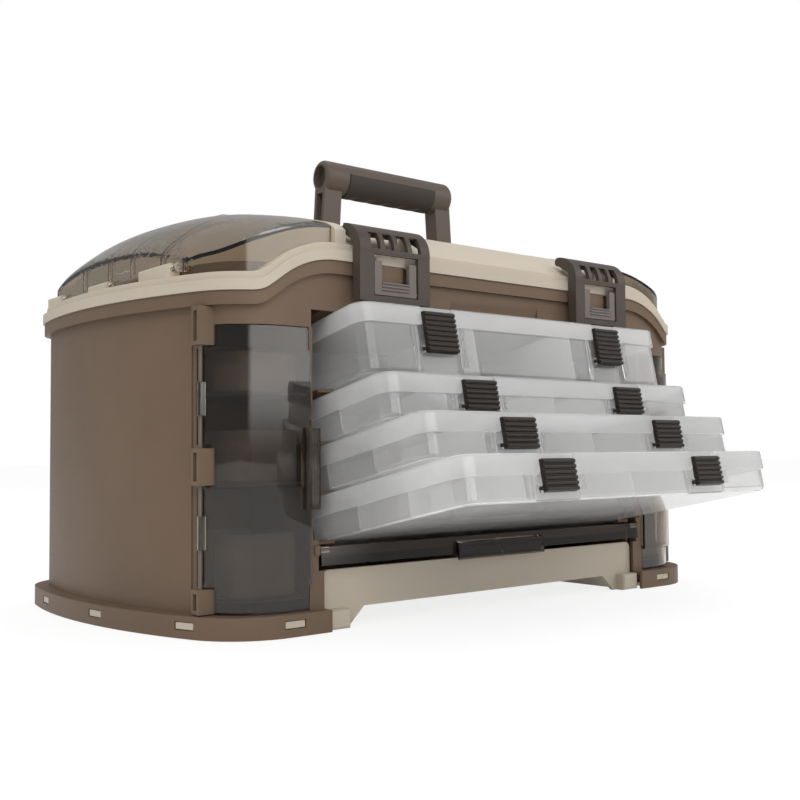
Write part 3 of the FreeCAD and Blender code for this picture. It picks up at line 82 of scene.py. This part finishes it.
# name, place, power and size
LAMPS = (
    ("key", (-1.6, -1.9, 2.3), 24.0, 1.6),
    ("fill", (1.9, -1.4, 1.5), 9.0, 1.4),
    ("top", (0.2, 0.5, 2.6), 14.0, 1.8),
)
FLOOR_HALF = 12.0
FLOOR_LEVEL = -0.0004
FLOOR_PALE = 0.80
FLOOR_SHADE = 0.22
FLOOR_GLOW = 0.82


def make_camera():
    forward = Vector((math.sin(YAW) * math.cos(PITCH), math.cos(YAW) * math.cos(PITCH), math.sin(PITCH)))
    level = Vector((math.cos(YAW), -math.sin(YAW), 0.0))
    rise = level.cross(forward)
    right = level * math.cos(ROLL) + rise * math.sin(ROLL)
    up = rise * math.cos(ROLL) - level * math.sin(ROLL)
    data = bpy.data.cameras.new("photo_camera")
    data.lens = LENS
    data.sensor_width = SENSOR
    data.clip_start = NEAREST
    data.clip_end = FARTHEST
    cam = bpy.data.objects.new("photo_camera", data)
    rows = Matrix((right, up, -forward)).transposed().to_4x4()
    cam.matrix_world = Matrix.Translation(CAMERA_AT) @ rows
    bpy.context.scene.collection.objects.link(cam)
    bpy.context.scene.camera = cam


# Colours

def display(r, g, b):
    """A colour given as it shows on screen, 0 to 255, as the shader wants it."""
    out = []
    for c in (r, g, b):
        c = c / 255
        out.append(c / 12.92 if c <= 0.04045 else ((c + 0.055) / 1.055) ** 2.4)
    return (*out, 1.0)


def grey(v):
    return (v, v, v, 1.0)


def tone(colour, factor):
    """The colour made lighter or darker by a factor."""
    return (*[min(1.0, c * factor) for c in colour[:3]], 1.0)


# Materials

class Shader:
    """A node material built round one Principled shader."""

    def __init__(self, name):
        self.material = bpy.data.materials.new(name)
        self.material.use_nodes = True
        self.tree = self.material.node_tree
        self.tree.nodes.clear()
        self.out = self.add("ShaderNodeOutputMaterial")
        self.main = self.add("ShaderNodeBsdfPrincipled")
        self.link(self.main, "BSDF", self.out, "Surface")
        self.coords = self.add("ShaderNodeTexCoord")

    def add(self, kind):
        return self.tree.nodes.new(kind)

    def link(self, a, out, b, into):
        self.tree.links.new(a.outputs[out], b.inputs[into])

    def set(self, **values):
        for name, value in values.items():
            self.main.inputs[name.replace("_", " ")].default_value = value

    def noise(self, scale, detail, rough, stretch=None):
        n = self.add("ShaderNodeTexNoise")
        n.inputs["Scale"].default_value = scale
        n.inputs["Detail"].default_value = detail
        n.inputs["Roughness"].default_value = rough
        if stretch:
            m = self.add("ShaderNodeMapping")
            m.inputs["Scale"].default_value = stretch
            self.link(self.coords, "Object", m, "Vector")
            self.link(m, "Vector", n, "Vector")
        else:
            self.link(self.coords, "Object", n, "Vector")
        return n

    def ramp(self, source, low, high):
        """Colours between two stops, each a place from 0 to 1 and a colour."""
        r = self.add("ShaderNodeValToRGB")
        for element, stop in zip(r.color_ramp.elements, (low, high)):
            element.position, element.color = stop
        self.link(source, "Fac", r, "Fac")
        return r

    def span(self, source, low, high):
        m = self.add("ShaderNodeMapRange")
        m.inputs["To Min"].default_value = low
        m.inputs["To Max"].default_value = high
        self.link(source, "Fac", m, "Value")
        return m

    def bump(self, source, strength, distance, after=None):
        b = self.add("ShaderNodeBump")
        b.inputs["Strength"].default_value = strength
        b.inputs["Distance"].default_value = distance
        self.link(source, "Fac", b, "Height")
        if after is not None:
            self.link(after, "Normal", b, "Normal")
        return b

    def blend(self, a, a_out, b, b_out, share=0.5):
        m = self.add("ShaderNodeMixShader")
        m.inputs["Fac"].default_value = share
        self.tree.links.new(a.outputs[a_out], m.inputs[1])
        self.tree.links.new(b.outputs[b_out], m.inputs[2])
        return m

    def lit_behind(self, shader, out, colour):
        """Let lamp light pass straight through, so that what stands behind the plastic is lit."""
        path = self.add("ShaderNodeLightPath")
        either = self.add("ShaderNodeMath")
        either.operation = "MAXIMUM"
        self.tree.links.new(path.outputs["Is Shadow Ray"], either.inputs[0])
        self.tree.links.new(path.outputs["Is Diffuse Ray"], either.inputs[1])
        clear = self.add("ShaderNodeBsdfTransparent")
        clear.inputs["Color"].default_value = colour
        whole = self.blend(shader, out, clear, "BSDF")
        self.link(either, "Value", whole, "Fac")
        self.link(whole, "Shader", self.out, "Surface")


def moulded(name, colour, rough, spread, grain, specular=0.25):
    """Opaque injection-moulded plastic: soft blotches, fine spark-eroded grain and light scuffs."""
    s = Shader(name)
    blotch = s.noise(scale=9.0, detail=4.0, rough=0.6)
    fine = s.noise(scale=650.0, detail=2.0, rough=0.6)
    scuff = s.noise(scale=60.0, detail=6.0, rough=0.7, stretch=(1.0, 1.0, 4.0))
    base = s.ramp(blotch, (0.35, tone(colour, 1 - spread)), (0.65, tone(colour, 1 + spread)))
    marks = s.ramp(scuff, (0.66, grey(0.0)), (0.78, grey(0.16)))
    mix = s.add("ShaderNodeMix")
    mix.data_type = "RGBA"
    mix.blend_type = "MIX"
    mix.inputs["B"].default_value = tone(colour, 1.35)
    s.link(marks, "Color", mix, "Factor")
    s.link(base, "Color", mix, "A")
    s.link(mix, "Result", s.main, "Base Color")
    shine = s.span(scuff, *rough)
    s.link(shine, "Result", s.main, "Roughness")
    wave = s.bump(blotch, strength=0.05, distance=0.002)
    skin = s.bump(fine, strength=grain, distance=0.0003, after=wave)
    s.link(skin, "Normal", s.main, "Normal")
    s.set(Specular_IOR_Level=specular)
    return s.material


def smoked(name, colour, passed=None):
    """Clear smoked plastic with the faint flow waves and smears of a moulded window."""
    s = Shader(name)
    flow = s.noise(scale=7.0, detail=2.0, rough=0.5, stretch=(1.0, 1.0, 0.6))
    smear = s.noise(scale=30.0, detail=3.0, rough=0.6, stretch=(1.0, 1.0, 0.3))
    base = s.ramp(flow, (0.35, tone(colour, 0.95)), (0.65, tone(colour, 1.05)))
    s.link(base, "Color", s.main, "Base Color")
    shine = s.span(smear, low=0.01, high=0.03)
    s.link(shine, "Result", s.main, "Roughness")
    wave = s.bump(flow, strength=0.04, distance=0.004)
    s.link(wave, "Normal", s.main, "Normal")
    s.set(Transmission_Weight=1.0, IOR=1.49)
    if passed:
        s.lit_behind(s.main, "BSDF", passed)
    return s.material


def milky(name, colour, rough, cloud):
    """Translucent polypropylene: clear with a white cloud in it and soft flow marks."""
    s = Shader(name)
    flow = s.noise(scale=11.0, detail=3.0, rough=0.55)
    streak = s.noise(scale=26.0, detail=3.0, rough=0.6, stretch=(0.25, 1.0, 1.0))
    base = s.ramp(flow, (0.3, tone(colour, 0.97)), (0.7, tone(colour, 1.02)))
    s.link(base, "Color", s.main, "Base Color")
    shine = s.span(streak, low=rough - 0.03, high=rough + 0.06)
    s.link(shine, "Result", s.main, "Roughness")
    wave = s.bump(flow, strength=0.04, distance=0.002)
    s.link(wave, "Normal", s.main, "Normal")
    s.set(Transmission_Weight=1.0, IOR=1.45)
    matt = s.add("ShaderNodeBsdfDiffuse")
    glow = s.add("ShaderNodeBsdfTranslucent")
    for shader in (matt, glow):
        s.link(base, "Color", shader, "Color")
        s.link(wave, "Normal", shader, "Normal")
    white = s.blend(matt, "BSDF", glow, "BSDF", share=0.45)
    amount = s.span(streak, low=cloud * 0.8, high=cloud * 1.2)
    whole = s.blend(s.main, "BSDF", white, "Shader")
    s.link(amount, "Result", whole, "Fac")
    s.lit_behind(whole, "Shader", grey(0.96))
    return s.material


def steel(name):
    """Drawn steel wire with fine lengthwise streaks."""
    s = Shader(name)
    streak = s.noise(scale=300.0, detail=3.0, rough=0.6, stretch=(0.1, 0.1, 1.0))
    base = s.ramp(streak, (0.3, grey(0.42)), (0.7, grey(0.60)))
    s.link(base, "Color", s.main, "Base Color")
    shine = s.span(streak, low=0.22, high=0.38)
    s.link(shine, "Result", s.main, "Roughness")
    skin = s.bump(streak, strength=0.08, distance=0.0002)
    s.link(skin, "Normal", s.main, "Normal")
    s.set(Metallic=1.0)
    return s.material


def make_materials():
    taupe = display(113, 94, 77)
    matt = (0.42, 0.56)
    satin = (0.36, 0.48)
    glossy = (0.30, 0.42)
    soft = (0.55, 0.70)
    return {
        "taupe": moulded("moulded_taupe", taupe, matt, spread=0.05, grain=0.10),
        "cream": moulded("moulded_cream", display(200, 189, 172), matt, spread=0.03, grain=0.10),
        # the body's taupe darkened by 0.85 for the parts inside: painted shade
        "inner": moulded("moulded_taupe_inner_painted_shade", tone(taupe, 0.85), matt, spread=0.05, grain=0.10),
        "smoke": smoked("smoked_clear", (0.38, 0.325, 0.27, 1.0)),
        "dome": smoked("smoked_dome", (0.66, 0.585, 0.49, 1.0), passed=(0.88, 0.84, 0.78, 1.0)),
        "box": milky("milky_clear", (0.985, 0.98, 0.975, 1.0), rough=0.045, cloud=0.20),
        "box_lid": milky("milky_lid", (0.99, 0.985, 0.98, 1.0), rough=0.05, cloud=0.34),
        "divider": milky("milky_divider", (0.985, 0.98, 0.975, 1.0), rough=0.05, cloud=0.42),
        "black": moulded("ribbed_black", display(44, 38, 34), glossy, spread=0.10, grain=0.06),
        "latch": moulded("satin_dark_grey", display(78, 69, 63), satin, spread=0.05, grain=0.08),
        "plate": moulded("satin_mid_grey", display(118, 109, 104), satin, spread=0.05, grain=0.08),
        "handle": moulded("handle_brown_grey", display(92, 82, 74), satin, spread=0.05, grain=0.10),
        "rubber": moulded("soft_dark_rubber", display(57, 51, 46), soft, spread=0.08, grain=0.30,
                          specular=0.3),
        "steel": steel("drawn_steel"),
        # dark brown for the rib strips under the domes: painted shade
        "painted_rib_shade": moulded("rib_shadow_brown", display(66, 54, 44), glossy, spread=0.05, grain=0.10),
        # dark taupe on the hinge pins and rods in place of steel: painted shade in the hinge gaps
        "rod": moulded("rod_taupe_painted_shade", display(112, 100, 88), glossy, spread=0.05, grain=0.10),
    }


def material_of(name):
    """Key of the material that a node wears."""
    if name in ("base_pan", "lid_frame"):
        return "cream"
    if name in ("left_dome", "right_dome"):
        return "dome"
    if name in ("left_corner_door", "right_corner_door", "front_bin_door"):
        return "smoke"
    # hinge pins and rods wear dark taupe as painted shade
    if name in ("dome_hinge_rods", "corner_door_pins"):
        return "rod"
    if name.endswith("_pins") or name.endswith("_rods"):
        return "steel"
    if name == "handle_frame":
        return "handle"
    if name == "handle_grip":
        return "rubber"
    if "latch_cover" in name:
        return "latch"
    if "latch_plate" in name:
        return "plate"
    if name.endswith("_latch"):
        return "black"
    if name.endswith("_dividers"):
        return "divider"
    if "_box_" in name:
        return "box_lid" if name.endswith("_lid") else "box"
    if name.endswith("_bins"):
        return "box"
    if name in ("body_shell", "front_latch_catches"):
        return "taupe"
    # all other parts wear the taupe darkened as painted shade
    return "inner"


def dress(looks):
    """Give every solid its material, soften its edges and smooth its curved faces."""
    for name, obj in nodes.items():
        obj.data.materials.clear()
        obj.data.materials.append(looks[material_of(name)])
        if "custom_normal" in obj.data.attributes:
            obj.data.attributes.remove(obj.data.attributes["custom_normal"])
        obj.data.polygons.foreach_set("use_smooth", [True] * len(obj.data.polygons))
        weld = obj.modifiers.new("weld", "WELD")
        weld.merge_threshold = WELD
        edge = obj.modifiers.new("edge", "BEVEL")
        edge.width = EDGE_ROUND
        edge.segments = EDGE_STEPS
        edge.limit_method = "ANGLE"
        edge.angle_limit = SHARP_ANGLE
        edge.use_clamp_overlap = True
        soft = obj.modifiers.new("normals", "WEIGHTED_NORMAL")
        soft.keep_sharp = False
        soft.weight = NORMAL_WEIGHT


# Ribs of the domes, drawn as dark strips of painted shade

def rib_path(skin, side, depth):
    """Points across the width and up, under the dome's skin at this depth, from the bridge outward."""
    path = []
    for step in range(RIB_STEPS):
        x = side * (RIB_INNER + step * RIB_STEP) * MM
        hit = skin.ray_cast(Vector((x, depth * MM, ABOVE_DOMES)), Vector((0, 0, -1)))[0]
        if hit is not None and hit.z > DOME_FOOT:
            path.append((x, hit.z - RIB_UNDER_SKIN * MM))
    foot_x, foot_z = path[-1]
    path.append((foot_x, min(foot_z, RIB_FOOT)))
    return path


def rib_mesh(name, path, side, depth):
    """A thin closed strip along the path, with four corners at each of its points."""
    corners = []
    for x, z in path:
        for across in (-RIB_HALF_WIDTH, RIB_HALF_WIDTH):
            y = (depth + across) * MM
            corners.append((x, y, z))
            corners.append((x - side * RIB_SLANT * MM, y, z - RIB_HEIGHT * MM))
    faces = [(0, 1, 3, 2)]
    for i in range(len(path) - 1):
        a = 4 * i
        b = a + 4
        faces += [(a, a + 2, b + 2, b), (a + 1, b + 1, b + 3, a + 3),
                  (a, b, b + 1, a + 1), (a + 2, a + 3, b + 3, b + 2)]
    last = 4 * (len(path) - 1)
    faces.append((last, last + 2, last + 3, last + 1))
    mesh = bpy.data.meshes.new(name)
    mesh.from_pydata(corners, [], faces)
    return mesh


def dome_ribs(look):
    """Strips of painted shade where the ribs moulded under each dome show dark, laid along its inner face."""
    for side, name in ((-1, "left_dome"), (1, "right_dome")):
        dome = nodes[name]
        place = dome.matrix_world
        skin = BVHTree.FromPolygons([place @ v.co for v in dome.data.vertices],
                                    [list(p.vertices) for p in dome.data.polygons])
        for number, depth in enumerate(RIB_DEPTHS):
            mesh = rib_mesh(f"{name}_rib_{number + 1}", rib_path(skin, side, depth), side, depth)
            mesh.materials.append(look)
            rib = bpy.data.objects.new(mesh.name, mesh)
            bpy.context.scene.collection.objects.link(rib)
            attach(rib, name)


# Studio

def make_studio():
    scene = bpy.context.scene
    scene.view_settings.view_transform = "Standard"
    world = bpy.data.worlds.new("studio")
    scene.world = world
    world.use_nodes = True
    tree = world.node_tree
    tree.nodes.clear()
    out = tree.nodes.new("ShaderNodeOutputWorld")
    seen = tree.nodes.new("ShaderNodeBackground")
    light = tree.nodes.new("ShaderNodeBackground")
    for background, strength in ((seen, SEEN_ROOM), (light, ROOM_LIGHT)):
        background.inputs["Color"].default_value = WHITE
        background.inputs["Strength"].default_value = strength
    mix = tree.nodes.new("ShaderNodeMixShader")
    tree.links.new(view_ray(tree), mix.inputs[0])
    tree.links.new(light.outputs[0], mix.inputs[1])
    tree.links.new(seen.outputs[0], mix.inputs[2])
    mirror = tree.nodes.new("ShaderNodeBackground")
    tree.links.new(mirrored_room(tree), mirror.inputs["Strength"])
    shiny = tree.nodes.new("ShaderNodeMixShader")
    path = tree.nodes.new("ShaderNodeLightPath")
    tree.links.new(path.outputs["Is Glossy Ray"], shiny.inputs[0])
    tree.links.new(mix.outputs[0], shiny.inputs[1])
    tree.links.new(mirror.outputs[0], shiny.inputs[2])
    tree.links.new(shiny.outputs[0], out.inputs[0])
    for lamp in LAMPS:
        soft_lamp(*lamp)
    make_floor()


def view_ray(tree):
    """1 for rays that show the background: camera, mirror and see-through ones."""
    path = tree.nodes.new("ShaderNodeLightPath")
    top = path.outputs["Is Camera Ray"]
    for name in ("Is Glossy Ray", "Is Transmission Ray"):
        larger = tree.nodes.new("ShaderNodeMath")
        larger.operation = "MAXIMUM"
        tree.links.new(top, larger.inputs[0])
        tree.links.new(path.outputs[name], larger.inputs[1])
        top = larger.outputs[0]
    return top


def mirrored_room(tree):
    """Brightness of the room in shiny surfaces: a wide soft box stands in front of the object."""
    coords = tree.nodes.new("ShaderNodeTexCoord")
    parts = tree.nodes.new("ShaderNodeSeparateXYZ")
    tree.links.new(coords.outputs["Generated"], parts.inputs[0])
    x, y, z = (parts.outputs[i] for i in range(3))
    box = None
    for source, edge in ((y, SOFT_BOX_FRONT), (x, SOFT_BOX_LEFT), (x, SOFT_BOX_RIGHT),
                         (z, SOFT_BOX_FOOT), (z, SOFT_BOX_TOP)):
        fade = tree.nodes.new("ShaderNodeMapRange")
        fade.interpolation_type = "SMOOTHSTEP"
        fade.inputs["From Min"].default_value, fade.inputs["From Max"].default_value = edge
        tree.links.new(source, fade.inputs["Value"])
        if box is None:
            box = fade.outputs["Result"]
            continue
        both = tree.nodes.new("ShaderNodeMath")
        both.operation = "MULTIPLY"
        tree.links.new(box, both.inputs[0])
        tree.links.new(fade.outputs["Result"], both.inputs[1])
        box = both.outputs[0]
    total = tree.nodes.new("ShaderNodeMath")
    total.operation = "MULTIPLY_ADD"
    tree.links.new(box, total.inputs[0])
    total.inputs[1].default_value = SOFT_BOX
    total.inputs[2].default_value = MIRRORED_ROOM
    return total.outputs[0]


def soft_lamp(name, place, power, size):
    data = bpy.data.lights.new(name, "AREA")
    data.energy = power
    data.shape = "DISK"
    data.size = size
    lamp = bpy.data.objects.new(name, data)
    lamp.location = place
    aim = LAMP_AIM - Vector(place)
    lamp.rotation_euler = aim.to_track_quat("-Z", "Y").to_euler()
    bpy.context.scene.collection.objects.link(lamp)


def make_floor():
    """A floor that shows near white, with a soft shadow under the object."""
    mesh = bpy.data.meshes.new("floor")
    corners = [(x * FLOOR_HALF, y * FLOOR_HALF, FLOOR_LEVEL) for x, y in ((-1, -1), (1, -1), (1, 1), (-1, 1))]
    mesh.from_pydata(corners, [], [(0, 1, 2, 3)])
    floor = bpy.data.objects.new("floor", mesh)
    bpy.context.scene.collection.objects.link(floor)
    material = bpy.data.materials.new("pale_floor")
    material.use_nodes = True
    tree = material.node_tree
    tree.nodes.clear()
    out = tree.nodes.new("ShaderNodeOutputMaterial")
    plain = tree.nodes.new("ShaderNodeBsdfDiffuse")
    plain.inputs["Color"].default_value = grey(FLOOR_PALE)
    matt = tree.nodes.new("ShaderNodeBsdfDiffuse")
    matt.inputs["Color"].default_value = grey(FLOOR_SHADE)
    glow = tree.nodes.new("ShaderNodeEmission")
    glow.inputs["Strength"].default_value = FLOOR_GLOW
    both = tree.nodes.new("ShaderNodeAddShader")
    tree.links.new(matt.outputs[0], both.inputs[0])
    tree.links.new(glow.outputs[0], both.inputs[1])
    mix = tree.nodes.new("ShaderNodeMixShader")
    tree.links.new(view_ray(tree), mix.inputs[0])
    tree.links.new(plain.outputs[0], mix.inputs[1])
    tree.links.new(both.outputs[0], mix.inputs[2])
    tree.links.new(mix.outputs[0], out.inputs[0])
    floor.data.materials.append(material)


make_camera()
make_studio()
looks = make_materials()
dress(looks)
dome_ribs(looks["painted_rib_shade"])
